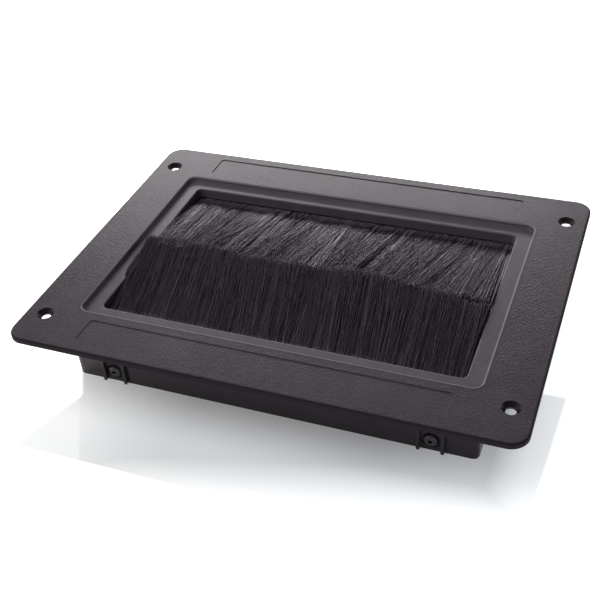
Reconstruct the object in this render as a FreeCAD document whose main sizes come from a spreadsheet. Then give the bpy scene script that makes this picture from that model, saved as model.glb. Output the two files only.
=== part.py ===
import FreeCAD, Part
import math
import os
import Sketcher

# Raised floor brush grommet: a moulded frame that drops into a cut-out in a floor tile, and two strip
# brushes that close its opening round the cables. Millimetres. X runs along the long sides, +Z is up,
# and the origin is the centre of the footprint at the bottom of the skirt.

DIMENSIONS = {
    # Overall
    "height": 40.5,
    "flange_length": 290.0,
    "flange_width": 215.0,
    "flange_edge": 3.4,
    "flange_corner": 10.0,
    "flange_rim": 1.4,
    # Skirt, set in from the edge of the flange
    "skirt_inset_ends": 26.1,
    "skirt_inset_sides": 22.6,
    "skirt_corner": 4.0,
    "skirt_draft": 0.5,
    "skirt_wall": 2.6,
    # Sunken step round the opening, set in from the outside of the skirt
    "recess_inset_ends": 2.6,
    "recess_inset_sides": 9.9,
    "recess_depth": 3.3,
    "recess_slope": 25.0,
    "recess_corner": 6.0,
    "recess_rim": 0.5,
    "ledge_thickness": 2.6,
    # Opening and its collar, which leave room for the brushes inside the skirt
    "opening_corner": 3.5,
    "opening_rim": 0.8,
    "collar_depth": 9.5,
    "collar_wall": 2.5,
    "collar_end_space": 7.076,
    "collar_grip_gap": 4.393,
    # Shallow panels between the sunken step and the long edges of the flange
    "panel_inset_ends": 41.0,
    "panel_inset_edge": 7.5,
    "panel_inset_step": 6.0,
    "panel_corner": 2.5,
    "panel_depth": 0.45,
    "panel_slope": 40.0,
    # Corner holes for the floor screws
    "hole_inset_ends": 12.25,
    "hole_inset_sides": 24.2,
    "hole_bore": 5.5,
    "hole_countersink": 10.0,
    "hole_countersink_angle": 90.0,
    # Side screws, and the ribs either side of them
    "screw_inset": 25.5,
    "screw_height": 7.2,
    "screw_shank": 3.3,
    "screw_length": 12.0,
    "screw_point": 2.0,
    "screw_head": 8.4,
    "screw_head_height": 2.4,
    "screw_shoulder": 7.2,
    "screw_shoulder_drop": 0.7,
    "screw_crown": 4.8,
    "screw_band": 0.6,
    "screw_socket": 2.2,
    "screw_socket_depth": 1.5,
    "screw_seat_inset": 1.2,
    "screw_seat_room": 1.0,
    "screw_passage_room": 0.3,
    "screw_pilot_room": 0.1,
    "rib_seat_gap": 0.4,
    "rib_thickness": 2.0,
    "rib_proud": 1.6,
    # Brush holders
    "fit_gap": 0.05,
    "holder_end_gap": 4.0,
    "leg_thickness": 2.2,
    "leg_foot": 2.0,
    "grip_wall": 1.3,
    "grip_lip": 1.0,
    "grip_skirt_gap": 0.96,
    # Strip brushes, in the tilted frame of each strip
    "brush_tilt": 11.2,
    "brush_collar_gap": 0.6,
    "channel_sheet": 0.6,
    "channel_reach": 3.6,
    "channel_overhang": 2.0,
    "wire_diameter": 1.6,
    "soft_gap": 0.3,
    "pack_end_gap": 0.6,
    "pack_root_thickness": 3.4,
    "pack_tip_thickness": 3.0,
    "pack_overlap": 2.0,
    "pack_level_run": 20.0,
    "pack_parting": 0.4,
}

doc = FreeCAD.newDocument("floor_brush_grommet")
sheet = doc.addObject("Spreadsheet::Sheet", "dims")
for row, (alias, number) in enumerate(DIMENSIONS.items(), start=1):
    sheet.set(f"A{row}", alias)
    sheet.set(f"B{row}", str(number))
    sheet.setAlias(f"B{row}", alias)
doc.recompute()

# Half sizes of the strip, from the filaments outwards
PACK_HALF = "(dims.pack_root_thickness / 2)"
CHANNEL_INNER = f"({PACK_HALF} + dims.soft_gap)"
CHANNEL_OUTER = f"({CHANNEL_INNER} + dims.channel_sheet)"
GRIP_INNER = f"({CHANNEL_OUTER} + dims.fit_gap)"
GRIP_OUTER = f"({GRIP_INNER} + dims.grip_wall)"
LIP_INNER = "(dims.channel_reach + dims.fit_gap)"
LIP_OUTER = f"({LIP_INNER} + dims.grip_lip)"

# Skirt
SKIRT_LENGTH = "(dims.flange_length - 2 * dims.skirt_inset_ends)"
SKIRT_WIDTH = "(dims.flange_width - 2 * dims.skirt_inset_sides)"
SKIRT_DROP = "(dims.height - dims.flange_edge)"
DRAFT_RUN = f"({SKIRT_DROP} * tan(dims.skirt_draft))"
INNER_LENGTH = f"({SKIRT_LENGTH} - 2 * {DRAFT_RUN} - 2 * dims.skirt_wall)"
INNER_WIDTH = f"({SKIRT_WIDTH} - 2 * {DRAFT_RUN} - 2 * dims.skirt_wall)"

# Sunken step and opening: the collar stands clear of the tilted grips of the brush holders
RECESS_LENGTH = f"({SKIRT_LENGTH} - 2 * dims.recess_inset_ends)"
RECESS_WIDTH = f"({SKIRT_WIDTH} - 2 * dims.recess_inset_sides)"
LEDGE = "(dims.height - dims.recess_depth)"
LEDGE_UNDERSIDE = f"({LEDGE} - dims.ledge_thickness)"
COLLAR_BOTTOM = "(dims.height - dims.collar_depth)"
TILT_COS = "cos(dims.brush_tilt)"
TILT_SIN = "sin(dims.brush_tilt)"
ROOT_Y = f"({INNER_WIDTH} / 2 - dims.grip_skirt_gap - {GRIP_OUTER} * ({TILT_COS} + {TILT_SIN}))"
GRIP_FRONT = f"({ROOT_Y} - {LIP_OUTER} * {TILT_COS} + {GRIP_OUTER} * {TILT_SIN})"
OPENING_LENGTH = f"({INNER_LENGTH} - 2 * (dims.collar_end_space + dims.collar_wall))"
OPENING_WIDTH = f"(2 * ({GRIP_FRONT} - dims.collar_grip_gap - dims.collar_wall))"

# The strip's core wire, low enough for the filaments to pass under the collar
PACK_RISE = f"(({ROOT_Y} - {OPENING_WIDTH} / 2) * tan(dims.brush_tilt) + {PACK_HALF} / {TILT_COS})"
ROOT_Z = f"({COLLAR_BOTTOM} - dims.brush_collar_gap - {PACK_RISE})"

# Lengths along X: the filaments stay clear of the opening's round corners
CORNER_CUT = "(dims.opening_corner * (1 - cos(45)))"
PACK_LENGTH = f"({OPENING_LENGTH} - 2 * (dims.pack_end_gap + {CORNER_CUT}))"
STRIP_LENGTH = f"({PACK_LENGTH} + 2 * dims.channel_overhang)"
HOLDER_LENGTH = f"({INNER_LENGTH} - 2 * dims.holder_end_gap)"

# Side screws
SCREW_X = f"({SKIRT_LENGTH} / 2 - dims.screw_inset)"
SCREW_SEAT = f"({SKIRT_WIDTH} / 2 - dims.screw_seat_inset)"
SEAT_BORE = "(dims.screw_head + 2 * dims.screw_seat_room)"
PASSAGE_BORE = "(dims.screw_shank + 2 * dims.screw_passage_room)"
PILOT_BORE = "(dims.screw_shank + 2 * dims.screw_pilot_room)"
RIB_SPACING = f"({SEAT_BORE} + dims.rib_thickness + 2 * dims.rib_seat_gap)"
LEG_OUTER = f"({INNER_WIDTH} / 2 - dims.fit_gap)"


def value(expression):
    """The present value of an expression of the cells."""
    return float(sheet.evalExpression(expression))


def new_body(label):
    """An empty body whose label names its file."""
    body = doc.addObject("PartDesign::Body", label)
    body.Label = label
    return body


def new_sketch(body, name, role, offset=None, turn=None):
    """A sketch on one of the body's origin planes, shifted by (x, y, z) expressions and turned in plane."""
    sketch = body.newObject("Sketcher::SketchObject", name)
    plane = next(item for item in body.Origin.OriginFeatures if item.Role == role)
    sketch.AttachmentSupport = [(plane, "")]
    sketch.MapMode = "FlatFace"
    if turn:
        upright = FreeCAD.Vector(0, 0, 1)
        sketch.AttachmentOffset = FreeCAD.Placement(
            FreeCAD.Vector(), FreeCAD.Rotation(upright, value(turn)))
        sketch.setExpression("AttachmentOffset.Rotation.Angle", turn)
    for axis, shift in (offset or {}).items():
        sketch.setExpression(f"AttachmentOffset.Base.{axis}", shift)
    return sketch


def bind(sketch, kind, *places, size):
    """A dimension of the sketch that follows an expression."""
    index = sketch.addConstraint(Sketcher.Constraint(kind, *places, value(size)))
    sketch.setExpression(f"Constraints[{index}]", size)


def locate(sketch, geometry, point, across, up):
    """Fixes one point of the sketch by its two coordinates."""
    for kind, axis, place in (("DistanceX", -2, across), ("DistanceY", -1, up)):
        if abs(value(place)) < 1e-9:
            sketch.addConstraint(Sketcher.Constraint("PointOnObject", geometry, point, axis))
        else:
            bind(sketch, kind, -1, 1, geometry, point, size=place)


def add_outline(sketch, corners, round_back=False):
    """A closed outline through corners given as pairs of expressions.

    With a round back, the last corner is joined to the first by an arc about the sketch's origin.
    """
    points = [FreeCAD.Vector(value(across), value(up), 0) for across, up in corners]
    runs = list(zip(points, points[1:]))
    if not round_back:
        runs.append((points[-1], points[0]))
    edges = [sketch.addGeometry(Part.LineSegment(start, end), False) for start, end in runs]
    for edge, following in zip(edges, edges[1:]):
        sketch.addConstraint(Sketcher.Constraint("Coincident", edge, 2, following, 1))
    for edge, (across, up) in zip(edges, corners):
        locate(sketch, edge, 1, across, up)
    if not round_back:
        sketch.addConstraint(Sketcher.Constraint("Coincident", edges[-1], 2, edges[0], 1))
        return
    locate(sketch, edges[-1], 2, *corners[-1])
    circle = Part.Circle(FreeCAD.Vector(), FreeCAD.Vector(0, 0, 1), points[0].Length)
    back = sketch.addGeometry(Part.ArcOfCircle(circle, math.pi / 2, 3 * math.pi / 2), False)
    sketch.addConstraint(Sketcher.Constraint("Coincident", back, 1, edges[-1], 2))
    sketch.addConstraint(Sketcher.Constraint("Coincident", back, 2, edges[0], 1))
    sketch.addConstraint(Sketcher.Constraint("PointOnObject", back, 3, -2))


def add_circle(sketch, across, up, diameter):
    """A circle with its centre at a pair of expressions."""
    centre = FreeCAD.Vector(value(across), value(up), 0)
    radius = f"{diameter} / 2"
    circle = sketch.addGeometry(Part.Circle(centre, FreeCAD.Vector(0, 0, 1), value(radius)), False)
    locate(sketch, circle, 3, across, up)
    bind(sketch, "Radius", circle, size=radius)


def add_rounded_rectangle(sketch, length, width, corner):
    """A rectangle about the sketch's origin with four tangent corner arcs."""
    half_x = value(length) / 2
    half_y = value(width) / 2
    radius = value(corner)
    upright = FreeCAD.Vector(0, 0, 1)
    quarter = math.pi / 2
    sides = []
    arcs = []
    for turn in range(4):
        spin = FreeCAD.Rotation(upright, 90 * turn)
        reach, rise = (half_x, half_y) if turn % 2 == 0 else (half_y, half_x)
        start = spin.multVec(FreeCAD.Vector(-reach + radius, -rise, 0))
        end = spin.multVec(FreeCAD.Vector(reach - radius, -rise, 0))
        centre = spin.multVec(FreeCAD.Vector(reach - radius, -rise + radius, 0))
        sides.append(sketch.addGeometry(Part.LineSegment(start, end), False))
        circle = Part.Circle(centre, upright, radius)
        first = quarter * (turn - 1)
        arcs.append(sketch.addGeometry(Part.ArcOfCircle(circle, first, first + quarter), False))
    for turn in range(4):
        following = sides[(turn + 1) % 4]
        sketch.addConstraint(Sketcher.Constraint("Tangent", sides[turn], 2, arcs[turn], 1))
        sketch.addConstraint(Sketcher.Constraint("Tangent", arcs[turn], 2, following, 1))
        level = "Horizontal" if turn % 2 == 0 else "Vertical"
        sketch.addConstraint(Sketcher.Constraint(level, sides[turn]))
    for arc in arcs[1:]:
        sketch.addConstraint(Sketcher.Constraint("Equal", arcs[0], arc))
    bind(sketch, "Radius", arcs[0], size=corner)
    bind(sketch, "DistanceY", sides[0], 1, -1, 1, size=f"{width} / 2")
    bind(sketch, "DistanceX", -1, 1, sides[1], 1, size=f"{length} / 2")
    bind(sketch, "DistanceY", -1, 1, sides[2], 1, size=f"{width} / 2")
    bind(sketch, "DistanceX", sides[3], 1, -1, 1, size=f"{length} / 2")


def extrude(body, kind, sketch, length, reverse=False, both_ways=False, taper=None):
    """A Pad or Pocket of a sketch, its length and taper bound to expressions."""
    feature = body.newObject(f"PartDesign::{kind}", f"{sketch.Name}_{kind.lower()}")
    feature.Profile = sketch
    feature.setExpression("Length", length)
    feature.Reversed = reverse
    feature.SideType = "Symmetric" if both_ways else "One side"
    if taper:
        feature.setExpression("TaperAngle", taper)
    body.Tip = feature
    return feature


def mirror(body, name, originals, role):
    """The same features on the other side of one of the body's origin planes."""
    plane = next(item for item in body.Origin.OriginFeatures if item.Role == role)
    feature = body.newObject("PartDesign::Mirrored", name)
    feature.Originals = originals
    feature.MirrorPlane = (plane, [""])
    body.Tip = feature
    return feature


def edges_on_rectangle(shape, length, width, level):
    """Names of the level edges whose ends lie on the sides of a centred rectangle."""
    half_x = value(length) / 2
    half_y = value(width) / 2
    height = value(level)
    near = 1e-4
    names = []
    for number, edge in enumerate(shape.Edges, start=1):
        on_side = True
        for vertex in edge.Vertexes:
            across = abs(vertex.X) - half_x
            along = abs(vertex.Y) - half_y
            touches = abs(max(across, along)) < near
            on_side = on_side and touches and abs(vertex.Z - height) < near
        if on_side:
            names.append(f"Edge{number}")
    return names


def round_edges(body, name, edges, radius):
    """A fillet on named edges of the body's last feature."""
    base = body.Tip
    feature = body.newObject("PartDesign::Fillet", name)
    feature.Base = (base, edges)
    feature.setExpression("Radius", radius)
    body.Tip = feature
    doc.recompute()
    return feature


def make_frame():
    """The moulding: flange, sunken step, opening with its collar, skirt, ribs, panels and holes."""
    body = new_body("frame")

    flange = new_sketch(body, "flange", "XY_Plane", {"z": SKIRT_DROP})
    add_rounded_rectangle(flange, "dims.flange_length", "dims.flange_width", "dims.flange_corner")
    extrude(body, "Pad", flange, "dims.flange_edge")

    skirt = new_sketch(body, "skirt", "XY_Plane", {"z": SKIRT_DROP})
    add_rounded_rectangle(skirt, SKIRT_LENGTH, SKIRT_WIDTH, "dims.skirt_corner")
    extrude(body, "Pad", skirt, SKIRT_DROP, reverse=True, taper="-dims.skirt_draft")

    hollow = new_sketch(body, "hollow", "XY_Plane")
    inner_corner = f"(dims.skirt_corner - {DRAFT_RUN} - dims.skirt_wall / 2)"
    add_rounded_rectangle(hollow, INNER_LENGTH, INNER_WIDTH, inner_corner)
    extrude(body, "Pocket", hollow, LEDGE_UNDERSIDE, reverse=True)

    collar = new_sketch(body, "collar", "XY_Plane", {"z": COLLAR_BOTTOM})
    collar_length = f"({OPENING_LENGTH} + 2 * dims.collar_wall)"
    collar_width = f"({OPENING_WIDTH} + 2 * dims.collar_wall)"
    collar_corner = "(dims.opening_corner + dims.collar_wall)"
    add_rounded_rectangle(collar, collar_length, collar_width, collar_corner)
    extrude(body, "Pad", collar, f"{LEDGE_UNDERSIDE} + dims.ledge_thickness / 2 - {COLLAR_BOTTOM}")

    recess = new_sketch(body, "recess", "XY_Plane", {"z": "dims.height"})
    add_rounded_rectangle(recess, RECESS_LENGTH, RECESS_WIDTH, "dims.recess_corner")
    extrude(body, "Pocket", recess, "dims.recess_depth", taper="-dims.recess_slope")

    opening = new_sketch(body, "opening", "XY_Plane", {"z": "dims.height"})
    add_rounded_rectangle(opening, OPENING_LENGTH, OPENING_WIDTH, "dims.opening_corner")
    extrude(body, "Pocket", opening, "dims.height")

    panel_length = "(dims.flange_length - 2 * dims.panel_inset_ends)"
    panel_outside = "(dims.flange_width / 2 - dims.panel_inset_edge)"
    panel_inside = f"({RECESS_WIDTH} / 2 + dims.panel_inset_step)"
    panel_middle = f"({panel_outside} + {panel_inside}) / 2"
    panel = new_sketch(body, "panel", "XY_Plane", {"y": f"-{panel_middle}", "z": "dims.height"})
    add_rounded_rectangle(panel, panel_length, f"({panel_outside} - {panel_inside})", "dims.panel_corner")
    panel_pocket = extrude(body, "Pocket", panel, "dims.panel_depth", taper="-dims.panel_slope")
    mirror(body, "panel_opposite", [panel_pocket], "XZ_Plane")

    rib_start = f"({INNER_WIDTH} / 2 + dims.skirt_wall / 2)"
    ribs = new_sketch(body, "ribs", "XZ_Plane", {"z": rib_start})
    for end in ("-", ""):
        for side in ("-", "+"):
            add_rib(ribs, f"{end}{SCREW_X} {side} {RIB_SPACING} / 2")
    rib_pad = extrude(body, "Pad", ribs, f"{SKIRT_WIDTH} / 2 + dims.rib_proud - {rib_start}")

    seats = new_sketch(body, "screw_seats", "XZ_Plane", {"z": SCREW_SEAT})
    passages = new_sketch(body, "screw_passages", "XZ_Plane", {"z": SCREW_SEAT})
    for end in ("-", ""):
        add_circle(seats, f"{end}{SCREW_X}", "dims.screw_height", SEAT_BORE)
        add_circle(passages, f"{end}{SCREW_X}", "dims.screw_height", PASSAGE_BORE)
    seat_pocket = extrude(body, "Pocket", seats, "dims.screw_seat_inset + dims.rib_proud", reverse=True)
    passage_pocket = extrude(body, "Pocket", passages, "2 * dims.skirt_wall")
    mirror(body, "screw_walls_opposite", [rib_pad, seat_pocket, passage_pocket], "XZ_Plane")
    doc.recompute()

    corners = new_sketch(body, "corner_holes", "XY_Plane", {"z": "dims.height"})
    hole_x = "(dims.flange_length / 2 - dims.hole_inset_ends)"
    hole_y = "(dims.flange_width / 2 - dims.hole_inset_sides)"
    for end in ("-", ""):
        for side in ("-", ""):
            add_circle(corners, f"{end}{hole_x}", f"{side}{hole_y}", "dims.hole_bore")
    doc.recompute()
    holes = body.newObject("PartDesign::Hole", "corner_holes_countersunk")
    holes.Profile = corners
    holes.DepthType = "ThroughAll"
    holes.HoleCutType = "Countersink"
    holes.HoleCutCustomValues = True
    holes.setExpression("Diameter", "dims.hole_bore")
    holes.setExpression("HoleCutDiameter", "dims.hole_countersink")
    holes.setExpression("HoleCutCountersinkAngle", "dims.hole_countersink_angle")
    body.Tip = holes
    doc.recompute()

    outer = edges_on_rectangle(body.Tip.Shape, "dims.flange_length", "dims.flange_width", "dims.height")
    round_edges(body, "flange_rim", outer, "dims.flange_rim")
    step = edges_on_rectangle(body.Tip.Shape, RECESS_LENGTH, RECESS_WIDTH, "dims.height")
    round_edges(body, "recess_rim", step, "dims.recess_rim")
    mouth = edges_on_rectangle(body.Tip.Shape, OPENING_LENGTH, OPENING_WIDTH, LEDGE)
    round_edges(body, "opening_rim", mouth, "dims.opening_rim")
    return body


def add_rib(sketch, centre):
    """An upright rib from the flange down to a round end level with the bottom of the skirt."""
    half = value("dims.rib_thickness / 2")
    middle = value(centre)
    top = value(SKIRT_DROP)
    left = Part.LineSegment(FreeCAD.Vector(middle - half, top, 0), FreeCAD.Vector(middle - half, half, 0))
    round_end = Part.Circle(FreeCAD.Vector(middle, half, 0), FreeCAD.Vector(0, 0, 1), half)
    foot = Part.ArcOfCircle(round_end, math.pi, 2 * math.pi)
    right = Part.LineSegment(FreeCAD.Vector(middle + half, half, 0), FreeCAD.Vector(middle + half, top, 0))
    head = Part.LineSegment(FreeCAD.Vector(middle + half, top, 0), FreeCAD.Vector(middle - half, top, 0))
    left, foot, right, head = [sketch.addGeometry(item, False) for item in (left, foot, right, head)]
    sketch.addConstraint(Sketcher.Constraint("Tangent", left, 2, foot, 1))
    sketch.addConstraint(Sketcher.Constraint("Tangent", foot, 2, right, 1))
    sketch.addConstraint(Sketcher.Constraint("Coincident", right, 2, head, 1))
    sketch.addConstraint(Sketcher.Constraint("Coincident", head, 2, left, 1))
    sketch.addConstraint(Sketcher.Constraint("Vertical", left))
    sketch.addConstraint(Sketcher.Constraint("Horizontal", head))
    bind(sketch, "Radius", foot, size="dims.rib_thickness / 2")
    locate(sketch, foot, 3, centre, "dims.rib_thickness / 2")
    bind(sketch, "DistanceY", -1, 1, head, 1, size=SKIRT_DROP)


def strip_sketch(body, name):
    """A sketch across the strip: its origin is the core wire and its x axis points along the filaments."""
    return new_sketch(body, name, "YZ_Plane", {"x": f"-{ROOT_Y}", "y": ROOT_Z}, "dims.brush_tilt")


def make_holder(label):
    """Extruded holder: a leg against the skirt, and a lipped grip round the strip's channel."""
    body = new_body(label)
    leg = new_sketch(body, "leg", "YZ_Plane")
    outer = f"-{LEG_OUTER}"
    inner = f"-({LEG_OUTER} - dims.leg_thickness)"
    add_outline(leg, [(outer, "dims.leg_foot"), (inner, "dims.leg_foot"), (inner, ROOT_Z), (outer, ROOT_Z)])
    extrude(body, "Pad", leg, HOLDER_LENGTH, both_ways=True)

    grip = strip_sketch(body, "grip")
    add_outline(grip, [
        (f"-{GRIP_OUTER}", f"-{GRIP_OUTER}"), (LIP_OUTER, f"-{GRIP_OUTER}"),
        (LIP_OUTER, f"-{CHANNEL_INNER}"), (LIP_INNER, f"-{CHANNEL_INNER}"),
        (LIP_INNER, f"-{GRIP_INNER}"), (f"-{GRIP_INNER}", f"-{GRIP_INNER}"),
        (f"-{GRIP_INNER}", GRIP_INNER), (LIP_INNER, GRIP_INNER),
        (LIP_INNER, CHANNEL_INNER), (LIP_OUTER, CHANNEL_INNER),
        (LIP_OUTER, GRIP_OUTER), (f"-{GRIP_OUTER}", GRIP_OUTER),
    ])
    extrude(body, "Pad", grip, HOLDER_LENGTH, both_ways=True)

    pilots = new_sketch(body, "pilots", "XZ_Plane", {"z": LEG_OUTER})
    for end in ("-", ""):
        add_circle(pilots, f"{end}{SCREW_X}", "dims.screw_height", PILOT_BORE)
    extrude(body, "Pocket", pilots, "2 * dims.leg_thickness")
    return body


def make_channel(label):
    """The strip's backing: sheet folded to a round-backed channel that nips the filaments."""
    body = new_body(label)
    for name, half, kind in (("fold", CHANNEL_OUTER, "Pad"), ("nip", CHANNEL_INNER, "Pocket")):
        section = strip_sketch(body, name)
        reach = "dims.channel_reach"
        corners = [("0", f"-{half}"), (reach, f"-{half}"), (reach, half), ("0", half)]
        add_outline(section, corners, round_back=True)
        extrude(body, kind, section, STRIP_LENGTH, both_ways=True)
    return body


def make_wire(label):
    """The core wire that the filaments are folded round."""
    body = new_body(label)
    section = strip_sketch(body, "section")
    add_circle(section, "0", "0", "dims.wire_diameter")
    extrude(body, "Pad", section, STRIP_LENGTH, both_ways=True)
    return body


def make_bristles(label, side):
    """A filament pack: out of the channel, up to the middle, then level over or under the other pack."""
    body = new_body(label)
    pack = strip_sketch(body, "pack")
    tip = f"(({ROOT_Y} + dims.pack_overlap) / cos(dims.brush_tilt))"
    bend = f"({tip} - dims.pack_level_run / cos(dims.brush_tilt))"
    spread = f"{side} (dims.pack_tip_thickness + dims.pack_parting) / 2"
    fall = "(dims.pack_level_run * tan(dims.brush_tilt))"
    half = "dims.pack_tip_thickness / 2"
    add_outline(pack, [
        ("0", f"-{PACK_HALF}"), (LIP_OUTER, f"-{PACK_HALF}"),
        (bend, f"({spread} - {half})"), (tip, f"({spread} - {fall} - {half})"),
        (tip, f"({spread} - {fall} + {half})"), (bend, f"({spread} + {half})"),
        (LIP_OUTER, PACK_HALF), ("0", PACK_HALF),
    ], round_back=True)
    add_circle(pack, "0", "0", "(dims.wire_diameter + 2 * dims.soft_gap)")
    extrude(body, "Pad", pack, PACK_LENGTH, both_ways=True)
    return body


def make_screws(label):
    """Four button-head screws with hexagon sockets, two through each long wall of the skirt."""
    body = new_body("brush_screw")
    profile = new_sketch(body, "profile", "XY_Plane", {"x": SCREW_X, "y": f"-{SCREW_SEAT}",
                                                       "z": "dims.screw_height"})
    shank = "dims.screw_shank / 2"
    head = "dims.screw_head / 2"
    add_outline(profile, [
        ("0", "-dims.screw_head_height"), ("dims.screw_crown / 2", "-dims.screw_head_height"),
        ("dims.screw_shoulder / 2", "-(dims.screw_head_height - dims.screw_shoulder_drop)"),
        (head, "-dims.screw_band"), (head, "0"), (shank, "0"),
        (shank, "dims.screw_length - dims.screw_point"), ("0", "dims.screw_length"),
    ])
    turned = body.newObject("PartDesign::Revolution", "turned")
    turned.Profile = profile
    turned.ReferenceAxis = (profile, ["V_Axis"])
    turned.Angle = 360
    body.Tip = turned

    crown = f"({SCREW_SEAT} + dims.screw_head_height)"
    socket = new_sketch(body, "socket", "XZ_Plane", {"x": SCREW_X, "y": "dims.screw_height", "z": crown})
    flat = "dims.screw_socket / 2"
    corner = "(dims.screw_socket / 2 / cos(30))"
    add_outline(socket, [
        (corner, "0"), (f"{corner} / 2", flat), (f"-{corner} / 2", flat),
        (f"-{corner}", "0"), (f"-{corner} / 2", f"-{flat}"), (f"{corner} / 2", f"-{flat}"),
    ])
    extrude(body, "Pocket", socket, "dims.screw_socket_depth")

    along = doc.addObject("Part::Mirroring", "screw_along")
    along.Source = body
    along.Normal = FreeCAD.Vector(1, 0, 0)
    pair = doc.addObject("Part::Compound", "screw_pair")
    pair.Links = [body, along]
    across = doc.addObject("Part::Mirroring", "screw_pair_across")
    across.Source = pair
    across.Normal = FreeCAD.Vector(0, 1, 0)
    screws = doc.addObject("Part::Compound", label)
    screws.Links = [pair, across]
    screws.Label = label
    return screws


def turn_about(body):
    """Places a rear piece: the front one turned half round about the upright axis."""
    body.Placement = FreeCAD.Placement(FreeCAD.Vector(), FreeCAD.Rotation(FreeCAD.Vector(0, 0, 1), 180))
    return body


pieces = [
    make_frame(),
    make_holder("front_brush_holder"),
    turn_about(make_holder("rear_brush_holder")),
    make_channel("front_brush_channel"),
    turn_about(make_channel("rear_brush_channel")),
    make_wire("front_core_wire"),
    turn_about(make_wire("rear_core_wire")),
    make_bristles("front_bristles", "+"),
    turn_about(make_bristles("rear_bristles", "-")),
    make_screws("brush_screws"),
]
doc.recompute()

for item in doc.Objects:
    if "Invalid" in item.State or "Error" in item.State:
        raise RuntimeError(f"{item.Label} failed: {item.State}")
for piece in pieces:
    if piece.Shape.isNull() or not piece.Shape.isValid():
        raise RuntimeError(f"{piece.Label} has no valid shape")

os.makedirs("parts", exist_ok=True)
for piece in pieces:
    piece.Shape.exportStep(f"parts/{piece.Label}.step")
    print(piece.Label, len(piece.Shape.Solids), round(piece.Shape.Volume, 1), piece.Shape.BoundBox)
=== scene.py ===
# %% [markdown]
# A raised floor brush grommet. It is a dark moulded frame that drops into a cut-out in a floor tile, with
# two strip brushes that meet in the middle of its opening and close it round the cables. The solid pieces
# come from the CAD model. This script gives them their finishes, grows the filaments of the two brushes,
# and sets the part on a glossy white table.

# %% Load the part
import math
import random

import bmesh
import bpy
import numpy as np
from mathutils import Matrix


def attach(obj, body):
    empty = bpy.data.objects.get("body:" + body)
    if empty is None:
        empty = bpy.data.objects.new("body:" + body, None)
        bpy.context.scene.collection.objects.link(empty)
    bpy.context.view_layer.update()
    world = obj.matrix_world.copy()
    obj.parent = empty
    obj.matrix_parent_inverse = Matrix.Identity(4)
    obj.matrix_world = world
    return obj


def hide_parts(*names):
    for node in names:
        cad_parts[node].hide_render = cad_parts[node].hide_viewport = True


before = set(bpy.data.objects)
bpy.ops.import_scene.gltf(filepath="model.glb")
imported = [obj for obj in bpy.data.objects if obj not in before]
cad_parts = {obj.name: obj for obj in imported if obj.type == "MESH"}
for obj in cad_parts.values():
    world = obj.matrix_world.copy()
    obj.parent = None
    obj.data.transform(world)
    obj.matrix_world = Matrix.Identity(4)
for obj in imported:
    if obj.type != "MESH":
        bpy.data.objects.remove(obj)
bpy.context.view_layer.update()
MM = 0.001
print("nodes:", ", ".join(sorted(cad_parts)))

# %% [markdown]
# Colours are written the way a paint program shows them, as sRGB hex. Shaders work in linear light, so one
# function converts them. A second small function adds a shader node, sets its values and joins its inputs,
# which keeps each material below to a few lines. Two settings come up often: a Map Range that eases in and
# out, and a Mix of two colours, which takes its share at place 0 and the colours at places 6 and 7, and
# gives the result at place 2.

# %% Colours and shader nodes
SMOOTH = {"interpolation_type": "SMOOTHSTEP"}
COLOURS = {"data_type": "RGBA"}


def linear(hex_colour):
    """An sRGB hex colour as linear RGBA."""
    channels = [int(hex_colour[place:place + 2], 16) / 255 for place in (1, 3, 5)]
    return [c / 12.92 if c <= 0.04045 else ((c + 0.055) / 1.055) ** 2.4 for c in channels] + [1.0]


def add_node(tree, kind, settings=None, stops=(), **inputs):
    """A shader node. Each input is a value or another node's output. An input's name has _ for each space,
    or is a place such as at_0. Stops are the (place, hex colour) pairs of a colour ramp."""
    node = tree.nodes.new(kind)
    for name, value in (settings or {}).items():
        setattr(node, name, value)
    for number, (place, colour) in enumerate(stops):
        elements = node.color_ramp.elements
        element = elements[number] if number < len(elements) else elements.new(place)
        element.position = place
        element.color = linear(colour)
    for name, value in inputs.items():
        socket = node.inputs[int(name[3:]) if name.startswith("at_") else name.replace("_", " ")]
        if isinstance(value, bpy.types.NodeSocket):
            tree.links.new(value, socket)
        else:
            socket.default_value = value
    return node


def new_material(name):
    """An empty node material and the output that its shader goes to."""
    material = bpy.data.materials.new(name)
    material.use_nodes = True
    material.node_tree.nodes.clear()
    return material, material.node_tree, material.node_tree.nodes.new("ShaderNodeOutputMaterial")


print("mid grey in linear light:", [round(channel, 3) for channel in linear("#808080")])

# %% [markdown]
# The frame is injection-moulded ABS. The flange's face came from a textured mould, whose fine leather-like
# grain scatters the light. The collar, the skirt and the sunken step came from plainer steel and are
# smoother. The step and the collar are painted a shade paler, as painted light. A pale band along the
# step's rim is a painted highlight, and the grain stops short of it. The flange's outer edge and its
# countersinks have no grain and are painted blacker, as painted shade. Material slots could tell these
# places apart, but only face by face and with hard borders, so masks in one material do it instead. They
# read the height above the table, the distance from a hole, and how far a point lies outside the rectangle
# through the centres of an outline's corner arcs. The four quarters of the frame are alike, so its plan is
# folded into one quarter first.

# %% Places on the frame
PLAIN_BELOW = 37.4 * MM
GRAINED_ABOVE = 39.1 * MM
PLAIN_GRAIN = 0.3
RECESS_ARC_CENTRE = (110.3 * MM, 69.0 * MM, 0.0)
RECESS_CORNER = 6 * MM
STEP_RUN = 0.9 * MM
# Width of the pale band painted along the step's rim as a highlight.
RIM_HIGHLIGHT_WIDTH = 0.45 * MM
RIM_FADE = 3 * MM
FLANGE_ARC_CENTRE = (135.0 * MM, 97.5 * MM, 0.0)
EDGE_START = 8.9 * MM
EDGE_END = 9.5 * MM
HOLE_CENTRE = (132.75 * MM, 83.3 * MM, 0.0)
COUNTERSINK_RADIUS = 5.0 * MM
CONE_FOOT = 38.0 * MM

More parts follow.
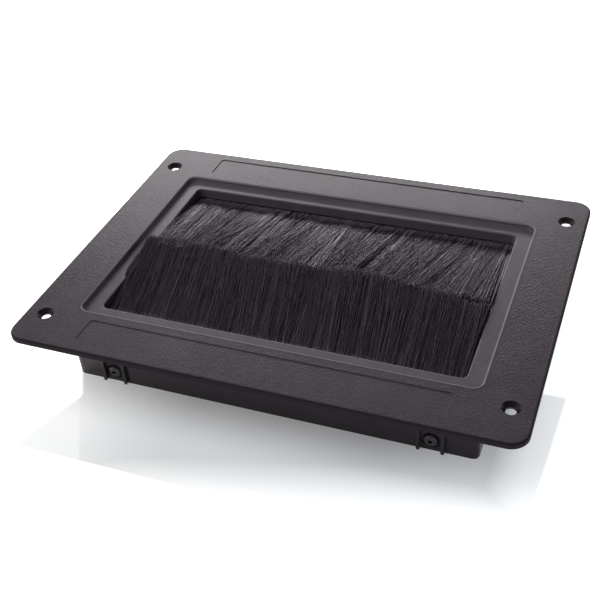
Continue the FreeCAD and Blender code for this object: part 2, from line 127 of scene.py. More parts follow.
abs_plastic, tree, output = new_material("abs_moulded_grained")
place = add_node(tree, "ShaderNodeTexCoord").outputs["Object"]
height = add_node(tree, "ShaderNodeSeparateXYZ", Vector=place).outputs["Z"]
on_flange = add_node(tree, "ShaderNodeMapRange", SMOOTH, Value=height, From_Min=PLAIN_BELOW,
                     From_Max=GRAINED_ABOVE, To_Min=PLAIN_GRAIN, To_Max=1.0)
plan = add_node(tree, "ShaderNodeVectorMath", {"operation": "MULTIPLY"}, at_0=place, at_1=(1.0, 1.0, 0.0))
folded = add_node(tree, "ShaderNodeVectorMath", {"operation": "ABSOLUTE"},
                  at_0=plan.outputs["Vector"]).outputs["Vector"]
distances = []
for centre in (RECESS_ARC_CENTRE, FLANGE_ARC_CENTRE):
    past = add_node(tree, "ShaderNodeVectorMath", {"operation": "SUBTRACT"}, at_0=folded, at_1=centre)
    past = add_node(tree, "ShaderNodeVectorMath", {"operation": "MAXIMUM"}, at_0=past.outputs["Vector"],
                    at_1=(0.0, 0.0, 0.0))
    past = add_node(tree, "ShaderNodeVectorMath", {"operation": "LENGTH"}, at_0=past.outputs["Vector"])
    distances.append(past.outputs["Value"])
out_from_recess, out_from_flange = distances
in_recess = add_node(tree, "ShaderNodeMath", {"operation": "LESS_THAN"}, at_0=out_from_recess,
                     at_1=RECESS_CORNER - STEP_RUN).outputs["Value"]
# Painted highlight: the band along the step's rim that is coloured pale below.
rim_painted_highlight = add_node(tree, "ShaderNodeMath", {"operation": "COMPARE"}, at_0=out_from_recess,
                  at_1=RECESS_CORNER, at_2=RIM_HIGHLIGHT_WIDTH).outputs["Value"]
off_rim = add_node(tree, "ShaderNodeMapRange", SMOOTH, Value=out_from_recess, From_Min=RECESS_CORNER,
                   From_Max=RECESS_CORNER + RIM_FADE)
on_edge = add_node(tree, "ShaderNodeMapRange", SMOOTH, Value=out_from_flange, From_Min=EDGE_START,
                   From_Max=EDGE_END).outputs["Result"]
from_hole = add_node(tree, "ShaderNodeVectorMath", {"operation": "DISTANCE"}, at_0=folded, at_1=HOLE_CENTRE)
near_hole = add_node(tree, "ShaderNodeMath", {"operation": "LESS_THAN"}, at_0=from_hole.outputs["Value"],
                     at_1=COUNTERSINK_RADIUS)
above_foot = add_node(tree, "ShaderNodeMath", {"operation": "GREATER_THAN"}, at_0=height, at_1=CONE_FOOT)
in_hole = add_node(tree, "ShaderNodeMath", {"operation": "MULTIPLY"}, at_0=near_hole.outputs["Value"],
                   at_1=above_foot.outputs["Value"]).outputs["Value"]
# No grain on the flange's outer edge and in the countersinks; the same mask paints them blacker below.
bare_and_painted_shade = add_node(tree, "ShaderNodeMath", {"operation": "MAXIMUM"}, at_0=on_edge,
                at_1=in_hole).outputs["Value"]
textured = add_node(tree, "ShaderNodeMath", {"operation": "MINIMUM"}, at_0=on_flange.outputs["Result"],
                    at_1=off_rim.outputs["Result"])
grain = add_node(tree, "ShaderNodeMath", {"operation": "SUBTRACT", "use_clamp": True},
                 at_0=textured.outputs["Value"], at_1=bare_and_painted_shade).outputs["Value"]
print("masks on the frame:", len(tree.nodes), "nodes so far")

# %% [markdown]
# The grain itself is a bump: small rounded cells with finer noise over them. A picture of leather could
# give it too, but these patterns need no file and take their size in millimetres. Grain cells on such parts
# are well under a millimetre: here they are drawn at 1.1 mm, so that they show at this distance. A faint
# mottle shifts the colour from place to place. The outer edge is matt, and the countersinks are a little
# glossier than the face.

# %% Moulded ABS
GRAIN_CELL = 1.1 * MM
GRAIN_DEPTH = 0.09 * MM
FINENESS = 1.4
FINE_SHARE = 0.5
MOTTLE_SIZE = 16 * MM
GRAINED_ROUGHNESS = (0.27, 0.36)
EDGE_ROUGHNESS = 0.8
CONE_ROUGHNESS = 0.22

cells = add_node(tree, "ShaderNodeTexVoronoi", {"feature": "SMOOTH_F1"},
                 Vector=place, Scale=1 / GRAIN_CELL).outputs["Distance"]
fine = add_node(tree, "ShaderNodeTexNoise", Vector=place, Scale=FINENESS / GRAIN_CELL, Detail=3.0,
                Roughness=0.65).outputs["Fac"]
pebble = add_node(tree, "ShaderNodeMath", {"operation": "ADD"}, at_0=cells, at_1=fine).outputs["Value"]
mottle = add_node(tree, "ShaderNodeTexNoise", Vector=place, Scale=1 / MOTTLE_SIZE, Detail=5.0,
                  Roughness=0.6).outputs["Fac"]
shade = add_node(tree, "ShaderNodeMath", {"operation": "MULTIPLY_ADD"}, at_0=fine, at_1=FINE_SHARE,
                 at_2=mottle).outputs["Value"]
grained = add_node(tree, "ShaderNodeValToRGB", Fac=shade,
                   stops=((0.55, "#363036"), (0.95, "#3f393f"))).outputs["Color"]
# Painted light: a paler copy of the colour, used on the step and the collar.
recess_painted_light = add_node(tree, "ShaderNodeValToRGB", Fac=shade,
                 stops=((0.55, "#4b454b"), (0.95, "#544e54"))).outputs["Color"]
colour = add_node(tree, "ShaderNodeMix", COLOURS, at_0=in_recess, at_6=grained, at_7=recess_painted_light).outputs[2]
# Painted highlight: the step's rim is coloured pale.
colour = add_node(tree, "ShaderNodeMix", COLOURS, at_0=rim_painted_highlight, at_6=colour,
                  at_7=linear("#6e686e")).outputs[2]
# Painted shade: the flange's outer edge and the countersinks are coloured blacker.
colour = add_node(tree, "ShaderNodeMix", COLOURS, at_0=bare_and_painted_shade, at_6=colour,
                  at_7=linear("#1f1c1f")).outputs[2]
rough = add_node(tree, "ShaderNodeMapRange", Value=fine, From_Min=0.3, From_Max=0.7,
                 To_Min=GRAINED_ROUGHNESS[0], To_Max=GRAINED_ROUGHNESS[1]).outputs["Result"]
for mask, roughness in ((on_edge, EDGE_ROUGHNESS), (in_hole, CONE_ROUGHNESS)):
    rough = add_node(tree, "ShaderNodeMapRange", Value=mask, To_Min=rough,
                     To_Max=roughness).outputs["Result"]
bump = add_node(tree, "ShaderNodeBump", Height=pebble, Strength=grain, Distance=GRAIN_DEPTH)
shader = add_node(tree, "ShaderNodeBsdfPrincipled", Base_Color=colour, Roughness=rough, IOR=1.53,
                  Specular_IOR_Level=0.22, Specular_Tint=linear("#fff1fa"), Normal=bump.outputs["Normal"])
tree.links.new(shader.outputs["BSDF"], output.inputs["Surface"])
print("grain cell in mm:", GRAIN_CELL / MM)

# %% [markdown]
# Behind the skirt are the metal pieces. The holders are mill-finish aluminium extrusions, with faint die
# lines along their length. The folded channels and the core wires are galvanised steel, whose zinc freezes
# in flat spangles a few millimetres across. The side screws are blackened steel, dark and half glossy.
# Little of these pieces shows, so each finish is one short pattern with a real size: noise drawn out along
# the holder, flat cells, and fine noise.

# %% Metals
DIE_LINE = 0.4 * MM
DIE_LINE_DEPTH = 0.05 * MM
DRAWN_OUT = (0.01, 1.0, 1.0)
SPANGLE = 4 * MM
OXIDE_BLOOM = 1.5 * MM

aluminium, tree, output = new_material("aluminium_mill_finish")
place = add_node(tree, "ShaderNodeTexCoord").outputs["Object"]
along = add_node(tree, "ShaderNodeMapping", Vector=place, Scale=DRAWN_OUT).outputs["Vector"]
lines = add_node(tree, "ShaderNodeTexNoise", Vector=along, Scale=1 / DIE_LINE, Detail=2.0).outputs["Fac"]
colour = add_node(tree, "ShaderNodeValToRGB", Fac=lines,
                  stops=((0.3, "#a9abad"), (0.7, "#bfc1c3"))).outputs["Color"]
bump = add_node(tree, "ShaderNodeBump", Height=lines, Strength=0.2, Distance=DIE_LINE_DEPTH)
shader = add_node(tree, "ShaderNodeBsdfPrincipled", Base_Color=colour, Metallic=1.0, Roughness=0.36,
                  Normal=bump.outputs["Normal"])
tree.links.new(shader.outputs["BSDF"], output.inputs["Surface"])

galvanised, tree, output = new_material("steel_galvanised")
place = add_node(tree, "ShaderNodeTexCoord").outputs["Object"]
spangle = add_node(tree, "ShaderNodeTexVoronoi", Vector=place, Scale=1 / SPANGLE).outputs["Color"]
shade = add_node(tree, "ShaderNodeSeparateColor", Color=spangle).outputs["Red"]
colour = add_node(tree, "ShaderNodeValToRGB", Fac=shade,
                  stops=((0.0, "#8f9294"), (1.0, "#b4b7b9"))).outputs["Color"]
rough = add_node(tree, "ShaderNodeMapRange", Value=shade, To_Min=0.32, To_Max=0.5).outputs["Result"]
shader = add_node(tree, "ShaderNodeBsdfPrincipled", Base_Color=colour, Metallic=1.0, Roughness=rough)
tree.links.new(shader.outputs["BSDF"], output.inputs["Surface"])

blackened, tree, output = new_material("steel_black_oxide")
place = add_node(tree, "ShaderNodeTexCoord").outputs["Object"]
bloom = add_node(tree, "ShaderNodeTexNoise", Vector=place, Scale=1 / OXIDE_BLOOM, Detail=3.0).outputs["Fac"]
colour = add_node(tree, "ShaderNodeValToRGB", Fac=bloom,
                  stops=((0.3, "#3d393d"), (0.7, "#4d494c"))).outputs["Color"]
rough = add_node(tree, "ShaderNodeMapRange", Value=bloom, To_Min=0.35, To_Max=0.6).outputs["Result"]
shader = add_node(tree, "ShaderNodeBsdfPrincipled", Base_Color=colour, Metallic=0.6, Roughness=rough)
tree.links.new(shader.outputs["BSDF"], output.inputs["Surface"])

FINISHES = {
    "frame": abs_plastic,
    "front_brush_holder": aluminium,
    "rear_brush_holder": aluminium,
    "front_brush_channel": galvanised,
    "rear_brush_channel": galvanised,
    "front_core_wire": galvanised,
    "rear_core_wire": galvanised,
    "brush_screws": blackened,
}
for node, finish in FINISHES.items():
    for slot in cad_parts[node].material_slots:
        slot.link = "OBJECT"
        slot.material = finish
print("finishes given to", len(FINISHES), "CAD pieces")

# %% [markdown]
# The brushes are black nylon monofilament, about 0.3 mm thick, each drawn smooth and left a little glossy,
# so that a filament shows as a dark line with a fine bright streak. No two are quite the same shade. The
# roots are painted paler, as painted light in the shadow under the collar, and the tips are a little paler
# too. Thousands of filaments share one mesh, so a colour for each object can't do this. Every filament
# carries a map instead, whose first number is its own shade and whose second runs from root to tip, and
# the material reads only that map.

# %% Nylon filament
nylon, tree, output = new_material("nylon_monofilament_black")
strand = add_node(tree, "ShaderNodeUVMap", {"uv_map": "OFBake"}).outputs["UV"]
numbers = add_node(tree, "ShaderNodeSeparateXYZ", Vector=strand).outputs
clean = add_node(tree, "ShaderNodeValToRGB", Fac=numbers["X"], stops=(
    (0.0, "#141016"), (0.55, "#2a232c"), (0.85, "#453e48"), (1.0, "#8c858f"))).outputs["Color"]
# Painted light: the roots are coloured paler where the collar's shadow falls; the tips are a little paler
# too.
painted_roots_paler_tips = add_node(tree, "ShaderNodeValToRGB", Fac=numbers["Y"], stops=(
    (0.14, "#e0e0e0"), (0.24, "#000000"), (0.55, "#000000"), (1.0, "#4c4c4c"))).outputs["Color"]
colour = add_node(tree, "ShaderNodeMix", COLOURS, at_0=painted_roots_paler_tips, at_6=clean, at_7=linear("#857a82")).outputs[2]
rough = add_node(tree, "ShaderNodeMapRange", Value=numbers["X"], To_Min=0.42, To_Max=0.2).outputs["Result"]
shader = add_node(tree, "ShaderNodeBsdfPrincipled", Base_Color=colour, Roughness=rough, IOR=1.53,
                  Specular_Tint=linear("#ffecff"))
tree.links.new(shader.outputs["BSDF"], output.inputs["Surface"])
print("filament shades run along", nylon.name)

# %% [markdown]
# Each brush holds about seven thousand filaments, folded round a core wire in its channel. They leave the
# channel slanting up and bend over as they near the middle. Stray directions alone would make an even fuzz,
# but real filaments cling together. So they gather in tufts that lean to one side, with smaller locks inside
# the tufts. All sizes of the filaments are in millimetres. They are drawn 0.4 mm thick, a little thicker
# than real ones, so that they show.

# %% Tufts and locks
ROOT_Y = 76.37
ROOT_Z = 26.55
HALF_LENGTH = 105.4
OVERRUN = 2
LENGTH_STRAY = 0.8
WALL_EASE = 2.0

# Where the tips of each brush end, and how far it leans over its length, at places along X.
FRONT_TIPS = ((-104, 2.5), (-75, 2.5), (-32, -1.5), (10, 1), (27, 2.8), (54, 0), (72, -2), (90, -4),
              (106, -8))
REAR_TIPS = ((-110, 5), (110, 5))
FRONT_LEAN = ((-104, -4.5), (-85, -11), (-30, -15), (40, -12), (80, -6), (104, -2))
REAR_LEAN = ((-104, -2), (-85, -7), (-45, -9), (0, -11), (40, -14), (75, -14), (90, -9), (105, -2.5))


def along_x(line, x):
    """The value at x of a line given by (x, value) corners."""
    return float(np.interp(x, [corner[0] for corner in line], [corner[1] for corner in line]))


def make_tufts(dice, widths, stray, pulls, lift):
    """Neighbouring tufts along the strip, each with its own lean, length, lift, pull and shade."""
    tufts = []
    x = -HALF_LENGTH - OVERRUN
    while x < HALF_LENGTH:
        end = x + dice.uniform(*widths)
        tufts.append({
            "centre": (x + end) / 2,
            "end": end,
            "lean": dice.gauss(0, stray),
            "long": dice.gauss(0, LENGTH_STRAY),
            "lift": dice.gauss(0, lift),
            "pull": dice.uniform(*pulls),
            "shade": dice.random(),
        })
        x = end
    return tufts


def tuft_at(tufts, x):
    """The tuft that a root at x belongs to."""
    return next(tuft for tuft in tufts if x < tuft["end"] or tuft is tufts[-1])


def held_in(x, low, high):
    """x, eased so that it never passes low or high."""
    if x < low + WALL_EASE:
        return low + WALL_EASE * math.exp((x - low - WALL_EASE) / WALL_EASE)
    if x > high - WALL_EASE:
        return high - WALL_EASE * math.exp((high - WALL_EASE - x) / WALL_EASE)
    return x


print("roots lie", ROOT_Y, "mm from the middle and", ROOT_Z, "mm above the table")

# %% [markdown]
# One function lays out a filament. Its root is a place along the strip and a layer within the pack, from -1
# at the bottom to 1 at the top. The tip is pulled sideways by the lean of the brush, by its tuft and by its
# lock, and the top layers follow those two the most. Some filaments are cut short, and each has a ripple of
# its own and a bow that is widest half-way. The front brush lies over the rear one. At its left end some of
# its filaments splay past the end of the opening and rest on the step, so they are lifted there.

# %% One filament
PLACES = (0.0, 0.2, 0.4, 0.6, 0.8, 0.995, 1.0)
PACK_HALF = 1.5
FAN = 0.1
BULGE_RATE = 8
TOP_LAYERS = 0.4
LEAN_CURVE = 1.25
GATHER_CURVE = 1.6
TRIM_STRAY = 0.9
SHORT_SHARE = 0.12
SHORT_BY = (1, 7)
RIPPLE = (0.05, 0.3)
RIPPLE_TURN = 7
SPLAY = 4
SPLAY_RATE = 4
SPLAY_DELAY = 1.6
INSIDE_END = 106.1
STEP_END = -104.4
LEDGE_Z = 37.2
REST_GAP = 0.5
LAYER_STEP = 0.4
TAPER = 0.55


def filament(dice, brush, x, layer):
    """The points of one filament, each as x, y, z and thickness, and the shade of its lock."""
    tuft = tuft_at(brush["tufts"], x)
    lock = tuft_at(brush["locks"], x)
    follow = min(1, brush["open"] + max(0, layer + TOP_LAYERS))
    lean = along_x(brush["lean"], x) + follow * (tuft["lean"] + lock["lean"])
    lean += dice.gauss(0, brush["loose"])
    gather = follow * ((tuft["centre"] - x) * tuft["pull"] + (lock["centre"] - x) * lock["pull"])
    tip_x = x + lean + gather
    reach = ROOT_Y + along_x(brush["tips"], tip_x) + tuft["long"] + lock["long"]
    trimmed = abs(dice.gauss(0, TRIM_STRAY))
    reach -= trimmed + (dice.uniform(*SHORT_BY) if dice.random() < SHORT_SHARE else 0)
    ripple = dice.uniform(*RIPPLE)
    phase = dice.uniform(0, 2 * math.pi)
    ruffle = dice.gauss(0, brush["ruffle"])
    bow = dice.gauss(0, brush["bow"])
    splay = brush["over"] * (1 + SPLAY * dice.random() ** 3)
    points = []
    for part in PLACES:
        run = reach * part
        across = x + lean * part ** LEAN_CURVE + gather * part ** GATHER_CURVE
        across += 4 * bow * part * (1 - part)
        across += ripple * math.sin(phase + RIPPLE_TURN * part) * part
        over = splay * min(1, max(0, SPLAY_RATE * part - SPLAY_DELAY))
        across = held_in(across, -INSIDE_END - over, INSIDE_END)
        rise = brush["slope"] * run - brush["sag"] * run ** 2
        spread = PACK_HALF * (1 + FAN * part) + brush["bulge"] * min(1, BULGE_RATE * part)
        up = ROOT_Z + rise + layer * spread
        up += (follow * (tuft["lift"] + lock["lift"]) + ruffle) * part
        if over and across < STEP_END:
            up = max(up, LEDGE_Z + REST_GAP + LAYER_STEP * (layer + 1))
        points.append((across, brush["side"] * (ROOT_Y - run), up, 1 - TAPER * part ** 2))
    return points, lock["shade"]


print("a filament has", len(PLACES), "points")

# %% [markdown]
# Hair particles would not survive as plain meshes, so every filament is one short spline. A round bevel
# gives a spline its thickness, and its points' radii thin it towards the tip. The last two points lie close
# together, so that the flat end of a filament doesn't bend the shading of its whole last stretch. The
# splines become a mesh, whose open ends are closed. Its map gets each filament's shade, which is partly its
# own and partly that of its lock, and how far along the filament a point lies.

# %% A mesh of filaments
RADIUS = 0.2


def grow(name, brush, seed, count, low, high):
    """A mesh of filaments whose roots lie between low and high along X."""
    dice = random.Random(seed)
    curve = bpy.data.curves.new(name, "CURVE")
    curve.dimensions = "3D"
    curve.bevel_depth = RADIUS * MM
    curve.bevel_resolution = 0
    lock_shades = []
    for _ in range(count):
        spline = curve.splines.new("POLY")
        spline.points.add(len(PLACES) - 1)
        points, lock_shade = filament(dice, brush, dice.uniform(low, high), dice.uniform(-1, 1))
        lock_shades.append(lock_shade)
        for point, (x, y, z, thick) in zip(spline.points, points):
            point.co = (x * MM, y * MM, z * MM, 1.0)
            point.radius = thick
        spline.use_smooth = True
    drawn = bpy.data.objects.new(name + "_drawn", curve)
    bpy.context.collection.objects.link(drawn)
    bpy.context.view_layer.update()
    mesh = bpy.data.meshes.new_from_object(drawn.evaluated_get(bpy.context.evaluated_depsgraph_get()))
    bpy.data.objects.remove(drawn)
    ends = bmesh.new()
    ends.from_mesh(mesh)
    rim = [edge for edge in ends.edges if edge.is_boundary]
    for cap in bmesh.ops.holes_fill(ends, edges=rim, sides=4)["faces"]:
        cap.smooth = False
    ends.to_mesh(mesh)
    ends.free()
    while mesh.uv_layers:
        mesh.uv_layers.remove(mesh.uv_layers[0])
    ring = len(mesh.vertices) // (count * len(PLACES))
    corner = np.empty(len(mesh.loops), int)
    mesh.loops.foreach_get("vertex_index", corner)
    own_shades = np.random.default_rng(seed).random(count)
    shares = brush["alike"] * np.array(lock_shades) + (1 - brush["alike"]) * own_shades
    shades = np.clip(np.interp(shares, (0, 1), brush["shades"]), 0.0, 1.0)
    own = shades[corner // (ring * len(PLACES))]
    along = np.array(PLACES)[corner // ring % len(PLACES)]
    mesh.uv_layers.new(name="OFBake").data.foreach_set("uv", np.stack([own, along], 1).ravel())
    mesh.materials.clear()
    mesh.materials.append(nylon)
    piece = bpy.data.objects.new(name, mesh)
    bpy.context.collection.objects.link(piece)
    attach(piece, "root")
    triangles = sum(len(face.vertices) - 2 for face in mesh.polygons)
    print(name, "has", count, "filaments and", triangles, "triangles")
    return piece


print("filaments are drawn", 2 * RADIUS, "mm thick")

# %% [markdown]
# The two brushes differ a little. The rear one leans more, splits into broader tufts and shows dark gaps
# between them. The front one is combed finer. Each is made as a left and a right half, which keeps every
# mesh light enough to handle, and the halves together stand for the plain solid of the CAD model. In the
# values below, loose, ruffle and bow are how far single filaments stray sideways, up and in their middle.
# Open is how much the lowest layers follow the tufts, over is how far the left end splays onto the step,
# and bulge is how much the pack swells as it leaves the channel. Alike is the part of its shade that a
# filament shares with its lock.

# %% Two brushes
FILAMENTS_PER_HALF = 3400
dice = random.Random(20)
front_brush = {
    "side": -1, "slope": 0.229, "sag": 0.0006, "lean": FRONT_LEAN, "tips": FRONT_TIPS,
    "loose": 2.2, "ruffle": 0.3, "bow": 1.2, "open": 0.2, "over": 1.0, "bulge": 0.0,
    "alike": 0.12, "shades": (0.44, 0.89),
    "tufts": make_tufts(dice, widths=(6, 14), stray=1.5, pulls=(0.05, 0.2), lift=0.3),
    "locks": make_tufts(dice, widths=(0.8, 2.2), stray=2.0, pulls=(0.15, 0.45), lift=0.4),
}
rear_brush = {
    "side": 1, "slope": 0.176, "sag": 0.0003, "lean": REAR_LEAN, "tips": REAR_TIPS,
    "loose": 2.4, "ruffle": 0.7, "bow": 1.2, "open": 0.9, "over": 0.0, "bulge": 0.45,
    "alike": 0.5, "shades": (0.1, 1.14),
    "tufts": make_tufts(dice, widths=(4, 10), stray=3.0, pulls=(0.08, 0.24), lift=0.6),
    "locks": make_tufts(dice, widths=(0.9, 2.6), stray=4.2, pulls=(0.4, 0.7), lift=0.9),
}
for seed, (node, brush) in enumerate((("front", front_brush), ("rear", rear_brush))):
    halves = [
        grow(f"{node}_filaments_left", brush, 2 * seed + 1, FILAMENTS_PER_HALF, -HALF_LENGTH, 0),
        grow(f"{node}_filaments_right", brush, 2 * seed + 2, FILAMENTS_PER_HALF, 0, HALF_LENGTH),
    ]
    for half in halves:
        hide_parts(f"{node}_bristles")

# %% [markdown]
# The part stands on a sheet of glossy white acrylic. A white diffuse base takes the part's shadow, and a
# share of sharp reflection over it shows the room and the part. In a product picture such a table burns out
# to white away from the part. More light would burn out the part as well, so the table glows there instead,
# for the camera and for what mirrors it, and the shadow stays. Straight edges across the table bound the
# glow. Each one counts X and Y by a share, and the glow comes in between its start and its end. A weaker
# glow lifts the shadow in front of the part and to its right.

# %% Where the table glows
SHADOW_FRONT = -84 * MM
SHADOW_RIGHT = 118 * MM
SHADOW_MIDDLE = 10 * MM
SHADOW_REACH = (45 * MM, 130 * MM)
WEAK_GLOW = (0.17, 0.36)

# The shares of X and Y, the start and the end in millimetres, and the glow at both.
GLOW_EDGES = {
    "shadow_left": (1.0, 0.57, -161.5, -167.5, 0.0, 1.0),
    "image_left": (1.0, -0.36, -69.5, -71.5, 0.385, 1.0),
    "image_front": (0.0, 1.0, -144.5, -148.5, 0.0, 1.0),
    "image_right": (1.0, -0.044, 151.0, 156.0, 0.0, 1.0),
    "image_back": (0.0, 1.0, -31.0, -25.0, 0.0, 1.0),
    "flange_right": (1.0, 0.0, 128.0, 136.0, 0.0, 1.0),
    "left": (1.0, 0.0, -119.0, -127.0, 0.0, 1.0),
    "right": (1.0, 0.0, 102.0, 150.0, 0.0, 0.73),
    "front": (-0.25, 1.0, -98.0, -184.0, 0.0, 1.0),
    "back": (0.0, 1.0, 85.0, 120.0, 0.0, 1.0),
}
BOTH_PASSED = (("shadow_left", "image_left"), ("image_back", "flange_right"))

acrylic, tree, output = new_material("acrylic_white_gloss")
place = add_node(tree, "ShaderNodeTexCoord").outputs["Object"]
side = add_node(tree, "ShaderNodeSeparateXYZ", Vector=place).outputs
in_front = add_node(tree, "ShaderNodeMath", {"operation": "LESS_THAN"}, at_0=side["Y"], at_1=SHADOW_FRONT)
at_right = add_node(tree, "ShaderNodeMath", {"operation": "GREATER_THAN"}, at_0=side["X"],
                    at_1=SHADOW_RIGHT)
beside = add_node(tree, "ShaderNodeMath", {"operation": "MAXIMUM"}, at_0=in_front.outputs["Value"],
                  at_1=at_right.outputs["Value"])
off_middle = add_node(tree, "ShaderNodeMath", {"operation": "SUBTRACT"}, at_0=side["X"], at_1=SHADOW_MIDDLE)
off_middle = add_node(tree, "ShaderNodeMath", {"operation": "ABSOLUTE"}, at_0=off_middle.outputs["Value"])
weak = add_node(tree, "ShaderNodeMapRange", SMOOTH, Value=off_middle.outputs["Value"],
                From_Min=SHADOW_REACH[0], From_Max=SHADOW_REACH[1],
                To_Min=WEAK_GLOW[0], To_Max=WEAK_GLOW[1])
clear = add_node(tree, "ShaderNodeMath", {"operation": "MULTIPLY"}, at_0=weak.outputs["Result"],
                 at_1=beside.outputs["Value"]).outputs["Value"]
past = {}
for edge, (share_x, share_y, start, end, least, most) in GLOW_EDGES.items():
    line = add_node(tree, "ShaderNodeVectorMath", {"operation": "DOT_PRODUCT"}, at_0=place,
                    at_1=(share_x, share_y, 0.0))
    past[edge] = add_node(tree, "ShaderNodeMapRange", SMOOTH, Value=line.outputs["Value"],
                          From_Min=start * MM, From_Max=end * MM,
                          To_Min=least, To_Max=most).outputs["Result"]
for edge, other in BOTH_PASSED:
    past[edge] = add_node(tree, "ShaderNodeMath", {"operation": "MULTIPLY"}, at_0=past[edge],
                          at_1=past.pop(other)).outputs["Value"]
for glowing in past.values():
    clear = add_node(tree, "ShaderNodeMath", {"operation": "MAXIMUM"}, at_0=clear,
                     at_1=glowing).outputs["Value"]
print("the glow has", len(past), "bounds")

# %% [markdown]
# The glow is added to the acrylic's own shader and turns a little cooler towards the right. Lamps close to
# the table could whiten it too, but their light would reach the part. The light path tells the rays that
# are seen, straight or in a mirror, from those that only light the scene, so the glow lights nothing.

# %% White table
MIRROR_SHARE = 0.4
COOL_RUN = 110 * MM
TABLE_HALF = 6.0
TABLE_TOP = -0.2 * MM


def seen_rays(tree):
    """1 on rays from the camera, straight or by way of a mirror or glass, and 0 on rays that only light."""
    path = add_node(tree, "ShaderNodeLightPath")
    mirrored = add_node(tree, "ShaderNodeMath", {"operation": "ADD"}, at_0=path.outputs["Is Glossy Ray"],
                        at_1=path.outputs["Is Transmission Ray"])
    return add_node(tree, "ShaderNodeMath", {"operation": "ADD", "use_clamp": True},
                    at_0=path.outputs["Is Camera Ray"], at_1=mirrored.outputs["Value"]).outputs["Value"]


base = add_node(tree, "ShaderNodeBsdfDiffuse", Color=linear("#f6f8fb"))
gloss = add_node(tree, "ShaderNodeBsdfGlossy", Color=linear("#ffffff"), Roughness=0.06)
surface = add_node(tree, "ShaderNodeMixShader", Fac=MIRROR_SHARE, at_1=base.outputs["BSDF"],
                   at_2=gloss.outputs["BSDF"])
rightward = add_node(tree, "ShaderNodeMapRange", Value=side["X"], From_Min=-COOL_RUN, From_Max=COOL_RUN)
tint = add_node(tree, "ShaderNodeValToRGB", Fac=rightward.outputs["Result"],
                stops=((0.0, "#fffffb"), (1.0, "#f9fcff"))).outputs["Color"]
strength = add_node(tree, "ShaderNodeMath", {"operation": "MULTIPLY"}, at_0=seen_rays(tree), at_1=clear)
glow = add_node(tree, "ShaderNodeEmission", Color=tint, Strength=strength.outputs["Value"])
paled = add_node(tree, "ShaderNodeAddShader", at_0=surface.outputs["Shader"], at_1=glow.outputs["Emission"])
tree.links.new(paled.outputs["Shader"], output.inputs["Surface"])

sheet = bmesh.new()
bmesh.ops.create_grid(sheet, x_segments=1, y_segments=1, size=TABLE_HALF)
bmesh.ops.translate(sheet, verts=sheet.verts, vec=(0, 0, TABLE_TOP))
table_mesh = bpy.data.meshes.new("table")
sheet.to_mesh(table_mesh)
sheet.free()
table = bpy.data.objects.new("table", table_mesh)
table_mesh.materials.append(acrylic)
bpy.context.collection.objects.link(table)
print("table:", len(table_mesh.vertices), "corners")

# %% [markdown]
# The light is that of a small product studio. The room's walls are bright behind the part and to its left,
# and dim in front and to its right, under a nearly dark ceiling. A picture of a studio could stand for the
# room, but two gradients, by height and by side, need no file and are easier to set. Where the room is seen,
# straight or in a mirror, its horizon is plain white.

# %% Room
WALLS = 0.65
CEILING = 0.05
WALL_TOP = 0.4
CEILING_START = 0.72
BRIGHT_SIDE = (-0.6, 0.8, 0.0)
DIM_SHARE = 0.2
DIM_END = -0.4
BRIGHT_START = 0.5
HORIZON_START = 0.2
HORIZON_END = 0.3

world = bpy.data.worlds.new("white_room")
bpy.context.scene.world = world
world.use_nodes = True
tree = world.node_tree
tree.nodes.clear()
direction = add_node(tree, "ShaderNodeTexCoord").outputs["Generated"]
upward = add_node(tree, "ShaderNodeSeparateXYZ", Vector=direction).outputs["Z"]
level = add_node(tree, "ShaderNodeMapRange", SMOOTH, Value=upward, From_Min=WALL_TOP,
                 From_Max=CEILING_START, To_Min=WALLS, To_Max=CEILING)
towards = add_node(tree, "ShaderNodeVectorMath", {"operation": "DOT_PRODUCT"}, at_0=direction,
                   at_1=BRIGHT_SIDE)
depth = add_node(tree, "ShaderNodeMapRange", SMOOTH, Value=towards.outputs["Value"], From_Min=DIM_END,
                 From_Max=BRIGHT_START, To_Min=DIM_SHARE, To_Max=1.0)
white = add_node(tree, "ShaderNodeMath", {"operation": "MULTIPLY"}, at_0=level.outputs["Result"],
                 at_1=depth.outputs["Result"])
low_down = add_node(tree, "ShaderNodeMapRange", SMOOTH, Value=upward, From_Min=HORIZON_END,
                    From_Max=HORIZON_START)
horizon = add_node(tree, "ShaderNodeMath", {"operation": "MULTIPLY"}, at_0=seen_rays(tree),
                   at_1=low_down.outputs["Result"])
shown = add_node(tree, "ShaderNodeMapRange", Value=horizon.outputs["Value"], To_Min=white.outputs["Value"],
                 To_Max=1.0)
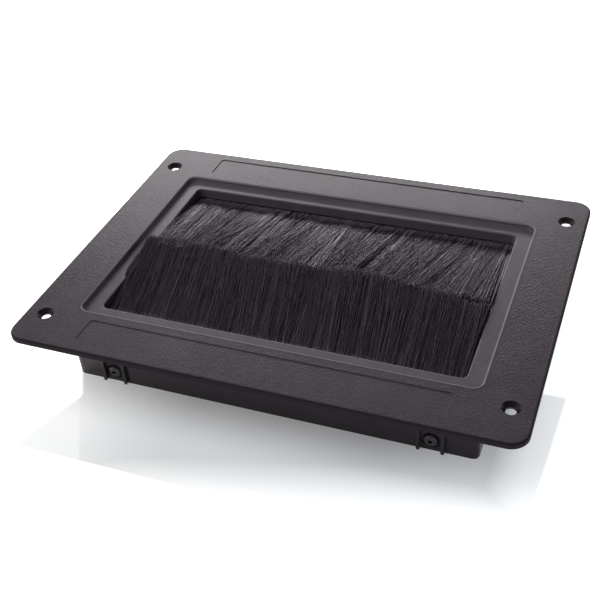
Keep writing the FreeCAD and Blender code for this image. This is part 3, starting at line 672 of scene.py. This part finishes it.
room = add_node(tree, "ShaderNodeBackground", Color=linear("#ffffff"), Strength=shown.outputs["Result"])
output = tree.nodes.new("ShaderNodeOutputWorld")
tree.links.new(room.outputs["Background"], output.inputs["Surface"])
print("room:", len(tree.nodes), "nodes")

# %% [markdown]
# Two soft panels do the rest. A low one behind the part skims over it towards the camera, so the far flange
# and the far brush catch it. A broad one overhead on the left fills in, and isn't reflected, so that the
# flange stays dark. The near faces get little more than what the table returns. Spot lamps would draw hard
# shadows, which such a picture doesn't have.

# %% Panels
def add_panel(name, watts, width, height, at):
    """A soft rectangular panel that faces the part."""
    lamp = bpy.data.lights.new(name, "AREA")
    lamp.energy = watts
    lamp.shape = "RECTANGLE"
    lamp.size = width
    lamp.size_y = height
    holder = bpy.data.objects.new(name, lamp)
    bpy.context.collection.objects.link(holder)
    holder.location = at
    holder.rotation_euler = (-holder.location).to_track_quat("-Z", "Y").to_euler()
    return holder


back_panel = add_panel("back_panel", watts=7.2, width=1.0, height=0.32, at=(-0.42, 1.13, 0.5))
fill_panel = add_panel("fill_panel", watts=19.5, width=1.2, height=1.2, at=(-0.65, -0.35, 1.15))
fill_panel.visible_glossy = False
print("panels:", back_panel.name, fill_panel.name)

# %% [markdown]
# The camera stands where the photograph's perspective puts it: to the right of the part, a little over half
# a metre away, looking down about 38 degrees and rolled by a few. Three measured directions make its frame.

# %% Camera
LENS = 59.87
SENSOR = 36.0
STAND = (0.181744, -0.436526, 0.387931)
RIGHT = (0.93322596, 0.35273211, -0.06833272)
UP = (-0.16892583, 0.59861818, 0.78302002)
BACK = (0.31710151, -0.71919145, 0.61823159)

camera = bpy.data.cameras.new("camera")
camera.sensor_width = SENSOR
camera.lens = LENS
eye = bpy.data.objects.new("camera", camera)
bpy.context.collection.objects.link(eye)
turn = Matrix((RIGHT, UP, BACK)).transposed().to_4x4()
eye.matrix_world = Matrix.Translation(STAND) @ turn
bpy.context.scene.camera = eye
bpy.context.scene.view_settings.view_transform = "Standard"
print("camera at", [round(value, 3) for value in eye.location])
